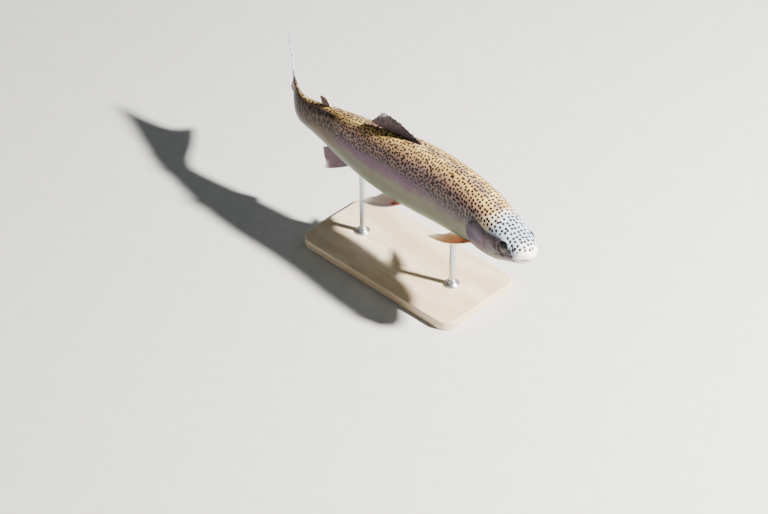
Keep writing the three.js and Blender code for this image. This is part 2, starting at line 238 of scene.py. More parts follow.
HEAD_END = 95


def head_relief(along, out, up):
    """How far the head's folds stand out of the bare form. Grooves and rims are bells round lines in
    the side view, and plates are ramps over the depth inside their outlines."""
    eye = np.hypot(along - EYE_ALONG, up - EYE_UP)
    brow = ramp(up - EYE_UP, -4, 6)
    rise = -2.8 * (1 - ramp(eye, EYE_OPENING - 0.9, EYE_OPENING + 0.3))
    rise += (0.35 + 0.35 * brow) * bell(eye - EYE_OPENING - 0.8, 0.8)
    rise += -0.25 * bell(eye - EYE_OPENING - 2.6, 0.9) * (1 - brow)
    below = MOUTH_LINE(along) - up
    in_mouth = 1 - ramp(along, MOUTH_CORNER - 4, MOUTH_CORNER + 1)
    rise += -1.15 * bell(below, 0.5) * in_mouth
    rise += 0.3 * bell(below + 1.5, 1.1) * in_mouth
    rise += -0.45 * ramp(below, 0, 1.2) * (1 - ramp(below, 3, 9)) * in_mouth
    bone = into_outline(along, up, JAW_BONE)
    rise += 0.55 * ramp(bone, -0.3, 0.9)
    rise += -0.4 * bell(bone + 0.45, 0.4) * ramp(along, 7, 12)
    cover = into_outline(along, up, GILL_COVER)
    rear = ramp(along, 56, 66) * (1 - ramp(up, 13, 16))
    rise += 0.3 * ramp(cover, 0, 2) * ramp(along, 45, 60)
    rise += -1.3 * np.exp(-np.maximum(-cover, 0) / 3.5) * (1 - ramp(cover, -0.2, 0.5)) * rear
    rise += -0.35 * bell(cover, 0.6) * (1 - rear) * ramp(-up, -16, -8)
    rise += -0.4 * bell(from_chain(along, up, CHEEK_RIDGE) - 0.4, 0.55)
    rise += -0.3 * bell(from_chain(along, up, LOWER_PLATE), 0.45)
    for ray in GILL_RAYS:
        rise += -0.35 * bell(from_chain(along, up, ray), 0.6)
    for bone_line in EYE_BONES:
        rise += -0.13 * bell(from_chain(along, up, bone_line), 0.5)
    for a, u, size in NOSTRILS:
        pit = np.hypot(along - a, (up - u) * 1.1)
        rise += -0.9 * bell(pit, size * 0.75) + 0.22 * bell(pit - size * 1.5, 0.35)
    throat = ramp(-up, 14, 20) * ramp(along, 14, 22) * (1 - ramp(along, 60, 70))
    rise += -0.5 * bell(np.abs(out) - 3.2 - (along - 20) * 0.05, 0.55) * throat
    return rise


def relief(points, turn):
    """What stands out of the bare form anywhere: the head's folds, faded out behind the gills, and the
    shallow lateral line along the flank."""
    along, out, up = np.moveaxis(points, -1, 0)
    rise = np.zeros(along.shape)
    near = along < HEAD_END
    rise[near] = head_relief(along[near], out[near], up[near])
    line = bell((np.abs(turn) / np.pi - 0.49) * 90, 0.6) * ramp(along, 74, 84)
    return rise - 0.12 * line


# Where the scales start: a distance along for each turn, as shares of a half turn.
SCALES_FROM = curve_through(
    [(0, 48.5), (0.18, 52), (0.28, 59), (0.36, 67), (0.45, 73.5), (0.56, 75), (0.68, 72), (0.8, 68), (1, 66)]
)
SCALE_ROOM = 0.5
BARE_ROOM = 0.25


def skin_point(along, turn, lift=0.0):
    """Points on the skin: the bare form with its relief, sunk by the depth that the scales need where
    there are scales, and raised by a lift."""
    bare = body_form(along, turn)
    scaled = ramp(along - SCALES_FROM(np.abs(turn) / np.pi), -1.5, 1.5)
    sunk = BARE_ROOM + (SCALE_ROOM - BARE_ROOM) * scaled
    height = relief(bare, turn) - sunk + lift
    return bare + body_facing(along, turn) * height[..., None]


SPINE_ALONG = np.arange(-5, 430.0)
heading = curve_through(HEADINGS)
SPINE_ANGLE = np.radians(heading(SPINE_ALONG))
half_way = np.radians(heading(SPINE_ALONG[:-1] + 0.5))
SPINE_X = -np.r_[0, np.cumsum(np.cos(half_way))]
SPINE_Y = -np.r_[0, np.cumsum(np.sin(half_way))]
SPINE_X -= np.interp(BASE_ALONG, SPINE_ALONG, SPINE_X)
SPINE_Y -= np.interp(BASE_ALONG, SPINE_ALONG, SPINE_Y)


def swimming(points):
    """Straight points carried to the swimming pose, in metres: each keeps its distance out of the
    middle plane, square to the spine where it stands."""
    along, out, up = np.moveaxis(points, -1, 0)
    angle = np.interp(along, SPINE_ALONG, SPINE_ANGLE)
    x = np.interp(along, SPINE_ALONG, SPINE_X) - out * np.sin(angle)
    y = np.interp(along, SPINE_ALONG, SPINE_Y) + out * np.cos(angle)
    return np.stack([x, y, SWIM_HEIGHT + up], -1) * MM


def piece(name, points, faces, material, slot, numbers=None, vectors=None, uvs=None, smooth=True):
    """A mesh object from an array of points in metres and an array of faces with the same number of
    corners. Numbers and vectors are attributes of the points, and uvs are maps of the corners."""
    mesh = bpy.data.meshes.new(name)
    corners = np.concatenate([np.ravel(f) for f in faces])
    sizes = np.concatenate([np.full(len(f), f.shape[1]) for f in faces])
    mesh.vertices.add(len(points))
    mesh.vertices.foreach_set("co", np.ravel(points))
    mesh.loops.add(len(corners))
    mesh.loops.foreach_set("vertex_index", corners)
    mesh.polygons.add(len(sizes))
    mesh.polygons.foreach_set("loop_start", np.r_[0, np.cumsum(sizes)[:-1]])
    mesh.update(calc_edges=True)
    mesh.validate()
    for kind, cell, group in (("FLOAT", "value", numbers), ("FLOAT_VECTOR", "vector", vectors)):
        for key, values in (group or {}).items():
            made = mesh.attributes.new(key, kind, "POINT")
            made.data.foreach_set(cell, np.ravel(values).astype(float))
    for key, values in (uvs or {}).items():
        layer = mesh.uv_layers.new(name=key)
        layer.data.foreach_set("uv", np.ravel(values).astype(float))
    mesh.polygons.foreach_set("use_smooth", np.full(len(sizes), smooth))
    mesh.materials.append(material)
    made = bpy.data.objects.new(name, mesh)
    bpy.context.scene.collection.objects.link(made)
    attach(made, "root")
    return made


SKIN_COLUMNS = 280
snout_rows = SNOUT_ROUNDING * (1 - np.cos(np.linspace(0.02, np.pi / 2, 56)))
head_rows = np.linspace(SNOUT_ROUNDING, 78, 152)[1:]
trunk_rows = np.linspace(78, BODY_LENGTH, 122)[1:]
tail_rows = BODY_LENGTH + TAIL_ROUNDING * np.sin(np.linspace(0, np.pi / 2, 14))[1:-1]
row_along = np.r_[snout_rows, head_rows, trunk_rows, tail_rows, BODY_LENGTH + TAIL_ROUNDING * 0.9995]
column_turn = np.linspace(-np.pi, np.pi, SKIN_COLUMNS, endpoint=False)
skin_along, skin_turn = np.meshgrid(row_along, column_turn, indexing="ij")
skin_straight = skin_point(skin_along, skin_turn)
bare_skin = body_form(skin_along, skin_turn)
girth_steps = np.linalg.norm(np.diff(bare_skin, axis=1), axis=2)
from_belly = np.c_[np.zeros(len(row_along)), np.cumsum(girth_steps, axis=1)]
skin_girth = from_belly - from_belly[:, [SKIN_COLUMNS // 2]]


def girth_at(along, turn):
    """The distance round the body from the back's midline, in millimetres, read off the skin's grid."""
    row = np.interp(along, row_along, np.arange(len(row_along)))
    col = (turn + np.pi) / (2 * np.pi) * SKIN_COLUMNS
    i = np.clip(row.astype(int), 0, len(row_along) - 2)
    j = np.clip(col.astype(int), 0, SKIN_COLUMNS - 2)
    s = row - i
    t = col - j
    near = skin_girth[i, j] * (1 - t) + skin_girth[i, j + 1] * t
    far = skin_girth[i + 1, j] * (1 - t) + skin_girth[i + 1, j + 1] * t
    return near * (1 - s) + far * s


# The trout's markings are laid on the skin in millimetres along it and round it from the back's midline.
# Spots sit in cells whose spacing shrinks towards the tail, down to a line on the flank. The white
# crown has its own line, and the cheek's spots and patches are (along, round, radius or half sizes).
SPOT_SPACING = curve_through([(0, 4.1), (50, 4.1), (90, 3.7), (150, 3.25), (230, 3.0), (345, 2.7)])
SPOTS_DOWN_TO = curve_through(
    [(3, 0), (6, 6), (9, 12), (13, 16), (20, 15), (27, 13.5), (35, 19), (45, 22.5), (60, 24.5), (70, 33)]
    + [(85, 43), (150, 44), (180, 36), (235, 33), (270, 28), (300, 24), (345, 25)]
)
WHITE_DOWN_TO = curve_through(
    [(0, 40), (8, 30), (13, 19), (20, 16), (27, 16.5), (33, 19), (40, 22.5), (50, 25), (70, 24)]
)
CHEEK_SPOTS = [
    (66, 33.5, 1.7), (60.5, 29, 1.1), (55.5, 29.5, 1.2), (51, 27.5, 1.4), (48, 29.5, 1.7), (42.5, 25.8, 1.5),
    (37, 25.2, 1.3), (71, 30, 1.3), (38.5, 31, 1.0), (44.5, 32, 0.9),
]
EYE_PATCHES = [(19.5, 20.5, 2.4, 4.4), (16, 19, 1.6, 2.4), (33.5, 28, 3.4, 6.5), (26, 31.5, 5, 2.6)]
CHEEK_BAND = [(36, 24.5), (44, 28), (52, 29.5), (60, 30), (68, 31.5), (80, 33)]
# A painted sheen: the bluish patch on the gill cover.
GILL_SHEEN_PATCH = (57, 40, 6.5, 5.5)


def patch_at(along, girth, patch):
    """How much a point belongs to a soft-edged oval patch: 1 in its middle and 0 outside it."""
    a, g, long, high = patch
    return 1 - ramp(np.hypot((along - a) / long, (girth - g) / high), 0.55, 1.25)


def markings_at(along, turn, girth, up):
    """The amounts that the colours read at each point, each from 0 to 1: how far it is behind the head, the
    painted shade along the mouth line, the gill edge and in the nostrils, on the white crown, within the
    spots' reach, on the gill cover, in the cheek's dark band, on the cover's bluish painted sheen, in a cheek
    spot, by the eye."""
    round_body = np.abs(girth)
    body = ramp(along - SCALES_FROM(np.abs(turn) / np.pi), -2.4, 2.4)
    fade = 1.2 + 5 * body
    marks = np.zeros(along.shape)
    for a, g, radius in CHEEK_SPOTS:
        marks = np.maximum(marks, patch_at(along, round_body, (a, g, radius, radius)))
    by_eye = np.zeros(along.shape)
    for patch in EYE_PATCHES:
        by_eye = np.maximum(by_eye, patch_at(along, round_body, patch))
    # Painted shade in the head's creases: along the mouth line, behind the gill cover's rear edge and in the
    # nostril pits.
    mouth = bell(MOUTH_LINE(along) - up, 0.55) * (1 - ramp(along, MOUTH_CORNER - 3, MOUTH_CORNER + 1))
    nostrils = [bell(np.hypot(along - a, up - u), size * 0.8) for a, u, size in NOSTRILS]
    gill_edge = bell(into_outline(along, up, GILL_COVER) + 0.8, 0.9) * ramp(along, 56, 66) * (1 - body)
    return {
        "body": body,
        "groove_shade": np.maximum.reduce([mouth * 0.8, gill_edge * 0.6, *nostrils]),
        "crown": ramp(WHITE_DOWN_TO(along) - round_body, -1.6, 1.6),
        "spotted": ramp((SPOTS_DOWN_TO(along) - round_body) / fade, -1, 1),
        "cover": ramp(into_outline(along, up, GILL_COVER), -0.5, 2.5),
        "band": bell(from_chain(along, round_body, CHEEK_BAND), 3.6),
        "sheen": patch_at(along, round_body, GILL_SHEEN_PATCH),
        "marks": marks,
        "by_eye": by_eye,
    }


back_line = body_form(row_along, 0 * row_along)
row_length = np.r_[0, np.cumsum(np.linalg.norm(np.diff(back_line, axis=0), axis=1))]
row_cells = np.r_[0, np.cumsum(np.diff(row_length) / SPOT_SPACING(row_along[1:]))]


def spot_cells(along, girth):
    """Places in the pattern of spots, in cells along the back's own length and round the body."""
    across = girth / SPOT_SPACING(along)
    return np.stack([np.interp(along, row_along, row_cells), across, 0 * across], -1)


class Wire:
    """A socket in a material's nodes. Sums on wires and numbers add the material's Math nodes."""

    def __init__(self, finish, socket):
        self.finish = finish
        self.socket = socket

    def math(self, operation, *others):
        values = dict(enumerate((self, *others)))
        return self.finish.node("ShaderNodeMath", {"operation": operation}, values)

    def __add__(self, other):
        return self.math("ADD", other)

    def __sub__(self, other):
        return self.math("SUBTRACT", other)

    def __rsub__(self, other):
        return self.math("MULTIPLY_ADD", -1, other)

    def __mul__(self, other):
        return self.math("MULTIPLY", other)

    def __truediv__(self, other):
        return self.math("DIVIDE", other)

    __radd__ = __add__
    __rmul__ = __mul__

    def smooth(self, low, high):
        """0 at low and 1 at high, smooth between, and the other way round if low is the larger."""
        settings = {"interpolation_type": "SMOOTHSTEP"}
        values = {"Value": self, "From Min": low, "From Max": high}
        return self.finish.node("ShaderNodeMapRange", settings, values)

    def band(self, low, high, edge):
        """1 between low and high, fading over an edge on both sides."""
        return self.smooth(low - edge, low + edge) * self.smooth(high + edge, high - edge)

    def paint(self, under, over):
        """The colour over, laid on the colour under by this wire's amount."""
        settings = {"data_type": "RGBA", "clamp_factor": True}
        return self.finish.node("ShaderNodeMix", settings, {0: self, 6: under, 7: over}, 2)


class Finish:
    """A material and its nodes. The keywords are values of the surface shader's own sockets."""

    def __init__(self, name, **surface):
        self.material = bpy.data.materials.new(name)
        self.material.use_nodes = True
        self.tree = self.material.node_tree
        self.shader = self.tree.nodes["Principled BSDF"]
        self.fill(self.shader, {key.replace("_", " "): value for key, value in surface.items()})

    def fill(self, node, values):
        for key, value in values.items():
            if isinstance(value, Wire):
                self.tree.links.new(value.socket, node.inputs[key])
            elif isinstance(value, tuple) and len(value) == 3 and len(node.inputs[key].default_value) == 4:
                node.inputs[key].default_value = (*value, 1)
            else:
                node.inputs[key].default_value = value

    def node(self, kind, settings=None, values=None, output=0):
        """Adds a node: its settings first, then the values or wires of its sockets."""
        node = self.tree.nodes.new(kind)
        for key, value in (settings or {}).items():
            setattr(node, key, value)
        self.fill(node, values or {})
        return Wire(self, node.outputs[output])

    def attribute(self, name, output="Fac"):
        return self.node("ShaderNodeAttribute", {"attribute_name": name}, output=output)

    def split(self, vector):
        parts = self.node("ShaderNodeSeparateXYZ", values={0: vector})
        return [Wire(self, parts.socket.node.outputs[axis]) for axis in "XYZ"]

    def vector(self, x, y, z=0.0):
        return self.node("ShaderNodeCombineXYZ", values={"X": x, "Y": y, "Z": z})

    def scaled(self, vector, factor):
        values = {"Vector": vector, "Scale": factor}
        return self.node("ShaderNodeVectorMath", {"operation": "SCALE"}, values)

    def here(self):
        """The place on the piece itself, in metres."""
        return self.node("ShaderNodeTexCoord", output="Object")

    def stretched(self, vector, x, y, z):
        values = {"Vector": vector, "Scale": (x, y, z)}
        return self.node("ShaderNodeMapping", {"vector_type": "POINT"}, values)

    def noise(self, vector, scale, detail=2.0, roughness=0.5):
        values = {"Vector": vector, "Scale": scale, "Detail": detail, "Roughness": roughness}
        return self.node("ShaderNodeTexNoise", values=values)

    def bump(self, height, distance, strength=1.0):
        values = {"Height": height, "Distance": distance, "Strength": strength}
        return self.node("ShaderNodeBump", values=values)

    def wear(self, **wires):
        self.fill(self.shader, {key.replace("_", " "): value for key, value in wires.items()})
        return self.material


def shade(code):
    """A colour from six hexadecimal digits, as the linear values that the shaders take."""
    parts = [int(code[i : i + 2], 16) / 255 for i in (0, 2, 4)]
    return tuple(p / 12.92 if p <= 0.04045 else ((p + 0.055) / 1.055) ** 2.4 for p in parts)


BACK_GOLD = shade("cfa962")
# A painted highlight: the brighter gold of the lit patches on the back.
BACK_PAINTED_HIGHLIGHT = shade("ecd080")
BACK_RIDGE = shade("9c8268")
BACK_ROSE = shade("caa078")
SHOULDER = shade("b09086")
FLANK_GREY = shade("786a69")
MAUVE = shade("7d5c70")
# The next two colours of the lower flank are darkened by painted shade.
LOWER_FLANK_SHADED = shade("827d6a")
PALE_FLANK_SHADED = shade("7d8470")
BELLY = shade("9fa892")
TAIL_TAN = shade("78614f")
# Painted shade on the tail stalk.
TAIL_PAINTED_SHADE = shade("3c2e2a")
HEAD_WHITE = shade("a2b0be")
HEAD_CREAM = shade("ccbc94")
LIP_WHITE = shade("e2dcd6")
CHEEK = shade("5c5055")
CHEEK_DARK = shade("2e2229")
JAW_PALE = shade("50594f")
GILL_MAUVE = shade("48394a")
GILL_PAINTED_SHEEN = shade("6b6b7b")
# Painted sheen on the gill cover.
GILL_PINK = shade("7b5556")
EYE_PATCH = shade("28141a")
# Painted shade for the mouth line, the gill edge and the nostrils.
GROOVE_SHADE = shade("2a2426")
SPOT = shade("190912")
SPOT_RADIUS = 0.32
TAIL_BARS = (2.9, 6.0)


def trout_markings(finish):
    """The trout's colours over the whole skin and its scales: bands from back to belly, then the head's
    own colours, then the spots. A spot is the middle of a cell of the spots' pattern, and the tail's
    bars are the middles of tall cells."""
    straight = finish.attribute("straight", "Vector")
    run, girth, turn = finish.split(finish.attribute("lie", "Vector"))
    cloud = finish.noise(straight, 0.07, 3.0)
    fine = finish.noise(straight, 0.5, 3.0, 0.6)
    wavy = turn + (cloud - 0.5) * 0.12
    colour = wavy.smooth(0.0, 0.1).paint(BACK_RIDGE, BACK_GOLD)
    # Painted highlights: brighter gold patches in soft clouds on the back.
    colour = (cloud.smooth(0.5, 0.62) * 0.6).paint(colour, BACK_PAINTED_HIGHLIGHT)
    colour = wavy.smooth(0.12, 0.2).paint(colour, BACK_ROSE)
    colour = wavy.smooth(0.21, 0.3).paint(colour, SHOULDER)
    colour = wavy.smooth(0.3, 0.42).paint(colour, FLANK_GREY)
    colour = (wavy.band(0.41, 0.5, 0.05) * run.band(130, 265, 25)).paint(colour, MAUVE)
    # Painted shade: the lower flank between the mauve band and the belly is darker than the belly.
    colour = wavy.smooth(0.47, 0.57).paint(colour, LOWER_FLANK_SHADED)
    colour = wavy.smooth(0.57, 0.68).paint(colour, PALE_FLANK_SHADED)
    colour = wavy.smooth(0.7, 0.84).paint(colour, BELLY)
    colour = (run.smooth(245, 285) * wavy.band(0.12, 0.62, 0.08)).paint(colour, TAIL_TAN)
    # Painted shade: the tail stalk darkens towards the tail fin.
    colour = (run.smooth(280, 330) * wavy.band(0.1, 0.72, 0.12) * 0.6).paint(colour, TAIL_PAINTED_SHADE)
    cheek = (girth + (cloud - 0.5) * 8).smooth(36, 52).paint(CHEEK, JAW_PALE)
    cheek = finish.attribute("band").paint(cheek, CHEEK_DARK)
    cheek = finish.attribute("cover").paint(cheek, GILL_MAUVE)
    cheek = (finish.attribute("band") * 0.7).paint(cheek, CHEEK_DARK)
    # Painted sheen: a bluish patch on the gill cover.
    cheek = (finish.attribute("sheen") * 0.35).paint(cheek, GILL_PAINTED_SHEEN)
    cheek = (run.band(49, 52, 2) * girth.band(36, 48, 3) * 0.8).paint(cheek, GILL_PINK)
    cheek = turn.smooth(0.82, 0.98).paint(cheek, BELLY)
    crown = run.smooth(36, 50).paint(HEAD_WHITE, HEAD_CREAM)
    head = finish.attribute("crown").paint(cheek, crown)
    head = run.smooth(14, 6).paint(head, LIP_WHITE)
    head = finish.attribute("by_eye").paint(head, EYE_PATCH)
    # Painted shade along the mouth line, behind the gill edge and in the nostrils.
    head = finish.attribute("groove_shade").paint(head, GROOVE_SHADE)
    colour = finish.attribute("body").paint(head, colour)
    cells = {"voronoi_dimensions": "2D", "feature": "F1"}
    rag = finish.vector(finish.noise(straight, 0.9, 2.0) - 0.5, finish.noise(straight, 1.0, 2.0) - 0.5)
    ragged = finish.scaled(rag, run.smooth(45, 130) * 0.6 + 0.12)
    at = finish.node(
        "ShaderNodeVectorMath", {"operation": "ADD"}, {0: finish.attribute("cells", "Vector"), 1: ragged}
    )
    strewn = 0.42 + 0.25 * run.smooth(60, 120)
    near = finish.node("ShaderNodeTexVoronoi", cells, {"Vector": at, "Scale": 1.0, "Randomness": strewn})
    bars_at = finish.vector(run / TAIL_BARS[0] + cloud, girth / TAIL_BARS[1] + fine)
    bars = finish.node("ShaderNodeTexVoronoi", cells, {"Vector": bars_at, "Scale": 1.0, "Randomness": 0.8})
    size = SPOT_RADIUS + (finish.noise(straight, 0.25, 1.0) - 0.5) * 0.16 + girth.band(25, 38, 6) * 0.06
    spots = (near - size).smooth(0.07, -0.03)
    tail_bars = (bars - 0.38).smooth(0.1, 0.0)
    on_tail = run.band(266, 350, 8) * girth.band(7.0, 25.0, 2.0)
    dark = (spots * (1 - on_tail) + tail_bars * on_tail) * finish.attribute("spotted")
    colour = (dark * (1 - girth.smooth(22.0, 46.0) * 0.35)).paint(colour, SPOT)
    colour = finish.attribute("marks").paint(colour, SPOT)
    # Painted sheen: the colour brightens and darkens in soft noise clouds, and the body as a whole is kept a
    # little darker than the head.
    painted_shimmer = (0.72 + 0.26 * fine + 0.34 * cloud) * (1 - finish.attribute("body") * 0.28)
    return finish.scaled(colour, painted_shimmer), 0.42 + 0.25 * fine, straight


skin_finish = Finish("trout_skin", Coat_Weight=0.12, Coat_Roughness=0.15, Specular_IOR_Level=0.25)
skin_colour, skin_rough, skin_place = trout_markings(skin_finish)
grain = skin_finish.noise(skin_place, 2.2, 3.0, 0.6)
TROUT_SKIN = skin_finish.wear(
    Base_Color=skin_colour, Roughness=skin_rough, Normal=skin_finish.bump(grain, 0.00012, 0.6)
)

turn_share = np.abs(skin_turn) / np.pi
skin_marks = markings_at(skin_along, skin_turn, skin_girth, skin_straight[..., 2])
rows = len(row_along)
skin_world = swimming(skin_straight)
row, col = np.meshgrid(np.arange(rows - 1), np.arange(SKIN_COLUMNS), indexing="ij")
after = (col + 1) % SKIN_COLUMNS
quad_rows = np.stack([row, row, row + 1, row + 1], -1)
quads = quad_rows * SKIN_COLUMNS + np.stack([col, after, after, col], -1)
round_it = np.arange(SKIN_COLUMNS)
next_round = (round_it + 1) % SKIN_COLUMNS
front = np.stack([np.full(SKIN_COLUMNS, rows * SKIN_COLUMNS), next_round, round_it], -1)
last = (rows - 1) * SKIN_COLUMNS
rear = np.stack([np.full(SKIN_COLUMNS, rows * SKIN_COLUMNS + 1), last + round_it, last + next_round], -1)


def with_tips(grid):
    """The grid's values as one list, followed by the means of its first and last rows."""
    ends = [grid[0].mean(axis=0), grid[-1].mean(axis=0)]
    return np.concatenate([grid.reshape(rows * SKIN_COLUMNS, -1), np.reshape(ends, (2, -1))])


lie_values = np.stack([skin_along, np.abs(skin_girth), turn_share], -1)
quad_turns = np.stack([col, col + 1, col + 1, col], -1) / SKIN_COLUMNS * 2 * np.pi - np.pi
UNWRAP_LENGTH = BODY_LENGTH + TAIL_ROUNDING


def skin_unwrap(along, turn):
    """The skin's own unwrap: the distance along runs across it and the turn runs up it."""
    return np.stack([along / UNWRAP_LENGTH, turn / (2 * np.pi) + 0.5], -1)


tip_turns = np.stack([round_it + 0.5, round_it + 1, round_it], -1) / SKIN_COLUMNS * 2 * np.pi - np.pi
snout_along = np.tile([0, 0.05, 0.05], (SKIN_COLUMNS, 1))
tail_along = np.full((SKIN_COLUMNS, 3), UNWRAP_LENGTH)
skin_uvs = [
    skin_unwrap(row_along[quad_rows], quad_turns),
    skin_unwrap(snout_along, tip_turns),
    skin_unwrap(tail_along, tip_turns[:, [0, 2, 1]]),
]
skin = piece(
    "trout_skin",
    with_tips(skin_world),
    [quads.reshape(-1, 4), front, rear],
    TROUT_SKIN,
    "skin_body",
    numbers={key: with_tips(values) for key, values in skin_marks.items()},
    vectors={
        "straight": with_tips(skin_straight),
        "lie": with_tips(lie_values),
        "cells": with_tips(spot_cells(skin_along, skin_girth)),
    },
    uvs={"OFBake": np.concatenate([group.reshape(-1, 2) for group in skin_uvs])},
)
FLESH = ["head", "lower_jaw", "trunk_front", "trunk_rear", "tail_stalk"]
FLESH += [f"{part}_{side}" for part in ("jaw_bone", "gill_cover") for side in ("left", "right")]
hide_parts(*FLESH)

# ---------------------------------------------------------------- scales
# Some twenty-two thousand thin scales, pressed into the skin behind the head and the gill covers. Each
# is a faceted lens with its front under its neighbours and its round rear edge free, so that they lie
# like tiles from head to tail. They are cast with the skin and carry its colours.
SCALE_STEP = 1.3
SCALE_ROWS = 43
SCALE_LENGTH = 3.5
SCALE_WIDTH = 2.9
SCALE_RISE = 0.2
SCALE_CROWN = 0.035
SCALE_RIM = 8
SMALLEST_SCALE = 0.6
FIRST_SCALES = 46.0
SCALES_END = BODY_LENGTH + 3
random = np.random.default_rng(7)


def scale_roots():
    """The places (along, turn share, size) of the scales of one side. Columns are a step apart that
    shrinks with the girth, and each has the same number of scales evenly round it, every other column
    half a scale further round."""
    half = SKIN_COLUMNS // 2
    turns = column_turn[half:]
    roots = []
    along = FIRST_SCALES
    odd = False
    while along < SCALES_END:
        nearest = int(np.interp(along, row_along, np.arange(rows)))
        round_body = skin_girth[nearest, half:]
        size = max((round_body[-1] / skin_girth[:, -1].max()) ** 0.6, SMALLEST_SCALE)
        even = (np.arange(SCALE_ROWS) + (0.25 if odd else 0.75)) / SCALE_ROWS
        turn = np.interp(even * round_body[-1], round_body, turns)
        roots.append(np.stack([np.full(SCALE_ROWS, along), turn, np.full(SCALE_ROWS, size)], -1))
        along += SCALE_STEP * size
        odd = not odd
    roots = np.concatenate(roots)
    return roots[roots[:, 0] > SCALES_FROM(roots[:, 1] / np.pi) + 0.6]


def scale_side(side):
    """All the scales of one side as arrays of points, each point at its own distance along and round
    the body, lifted from the skin: a ramp from root to rear edge, and a crown in the middle."""
    roots = scale_roots()
    along, turn, size = roots.T
    size = size * random.uniform(0.94, 1.06, len(size))
    rim = np.arange(SCALE_RIM) / SCALE_RIM * 2 * np.pi
    narrow = 1 - 0.3 * ramp(-np.cos(rim), 0, 1)
    local = np.concatenate(
        [
            np.stack([np.cos(rim) / 2, np.sin(rim) / 2 * narrow, 0 * rim], -1),
            [(0.12, 0.0, SCALE_CROWN), (0.0, 0.0, -0.04)],
        ]
    )
    lean = random.normal(0, 0.04, (len(roots), 1))
    x = (local[:, 0] + lean * local[:, 1]) * SCALE_LENGTH * size[:, None]
    y = (local[:, 1] - lean * local[:, 0]) * SCALE_WIDTH * size[:, None]
    round_step = body_form(along, turn + 0.01) - body_form(along, turn - 0.01)
    a_turn = np.linalg.norm(round_step, axis=-1) / 0.02
    at = along[:, None] + x
    to = side * (turn[:, None] + y / a_turn[:, None])
    from_border = along - SCALES_FROM(turn / np.pi)
    rise = SCALE_RISE * size * random.uniform(0.8, 1.2, len(size))
    rise *= (0.35 + 0.65 * ramp(from_border, 0, 15)) * (1 - 0.5 * ramp(turn / np.pi, 0.45, 0.65))
    lift = (local[:, 0] + 0.5) * rise[:, None] + local[:, 2] + 0.05
    straight = skin_point(at, to, lift)
    return roots, local, at, to, straight


fan = np.arange(SCALE_RIM)
scale_faces = np.concatenate(
    [
        np.stack([fan, (fan + 1) % SCALE_RIM, np.full(SCALE_RIM, SCALE_RIM)], -1),
        np.stack([(fan + 1) % SCALE_RIM, fan, np.full(SCALE_RIM, SCALE_RIM + 1)], -1),
    ]
)
SCALE_PATCH = 0.003
for side_name, side in (("left", 1), ("right", -1)):
    roots, local, at, to, straight = scale_side(side)
    count = len(roots)
    faces = scale_faces if side < 0 else scale_faces[:, ::-1]
    all_faces = (faces[None] + np.arange(count)[:, None, None] * (SCALE_RIM + 2)).reshape(-1, 3)
    patch = skin_unwrap(roots[:, 0], side * roots[:, 1])[:, None] + local[None, :, :2] * SCALE_PATCH
    girth = girth_at(at, to)
    piece(
        f"trout_scales_{side_name}",
        swimming(straight).reshape(-1, 3),
        [all_faces],
        TROUT_SKIN,
        "skin_body",
        numbers=markings_at(at, to, girth, straight[..., 2]),
        vectors={
            "straight": straight,
            "lie": np.stack([at, np.abs(girth), np.abs(to) / np.pi], -1),
            "cells": spot_cells(at, girth),
        },
        uvs={"OFBake": patch.reshape(-1, 2)[all_faces.ravel()]},
        smooth=False,
    )

# ---------------------------------------------------------------- eyes
# Two glass eyes set in the skin's sockets, with a black pupil in a thin brass ring and a dark brown
# iris, darker above and below. Each is a flattened ball with the lens bulging a little through the iris.
EYE_RADIUS = EYE_DIAMETER / 2 - 0.15
EYE_FLATTENED = 0.8
LENS_BULGE = 0.55
PUPIL = 0.5
EYE_AXIS = (0.12, 1.0, -0.06)
PUPIL_BLACK = shade("050506")
IRIS_BROWN = shade("231b19")
IRIS_DARK = shade("1d1613")
IRIS_BRASS = shade("6b5434")


def eye_ball(side):
    """A ball of rings about the eye's axis, flattened along it, with a bell-shaped bulge in the middle
    of its front. Returns the straight points and each one's place on the eye's face."""
    from_front = np.linspace(0.01, np.pi - 0.01, 64)
    round_axis = np.linspace(0, 2 * np.pi, 96, endpoint=False)
    polar, round_eye = np.meshgrid(from_front, round_axis, indexing="ij")
    radius = np.sin(polar)
    height = np.cos(polar) * EYE_FLATTENED
    front = np.cos(polar) > 0
    height = height + LENS_BULGE / EYE_RADIUS * bell(radius, PUPIL) * front
    axis = unit(np.array(EYE_AXIS) * (1, side, 1))
    forward = unit(np.array([-1.0, 0, 0]) - axis * -axis[0])
    upward = np.cross(axis, forward) * side
    cheek = body_form(np.array(EYE_ALONG), np.array(np.pi * 0.37))[1]
    centre = np.array([EYE_ALONG, side * (cheek + EYE_PROUD - EYE_DIAMETER * 0.4), EYE_UP])
    x = radius * np.cos(round_eye)
    y = radius * np.sin(round_eye)
    ball = axis * height[..., None] + forward * x[..., None] + upward * y[..., None]
    return centre + ball * EYE_RADIUS, np.stack([x, y, height * front], -1)


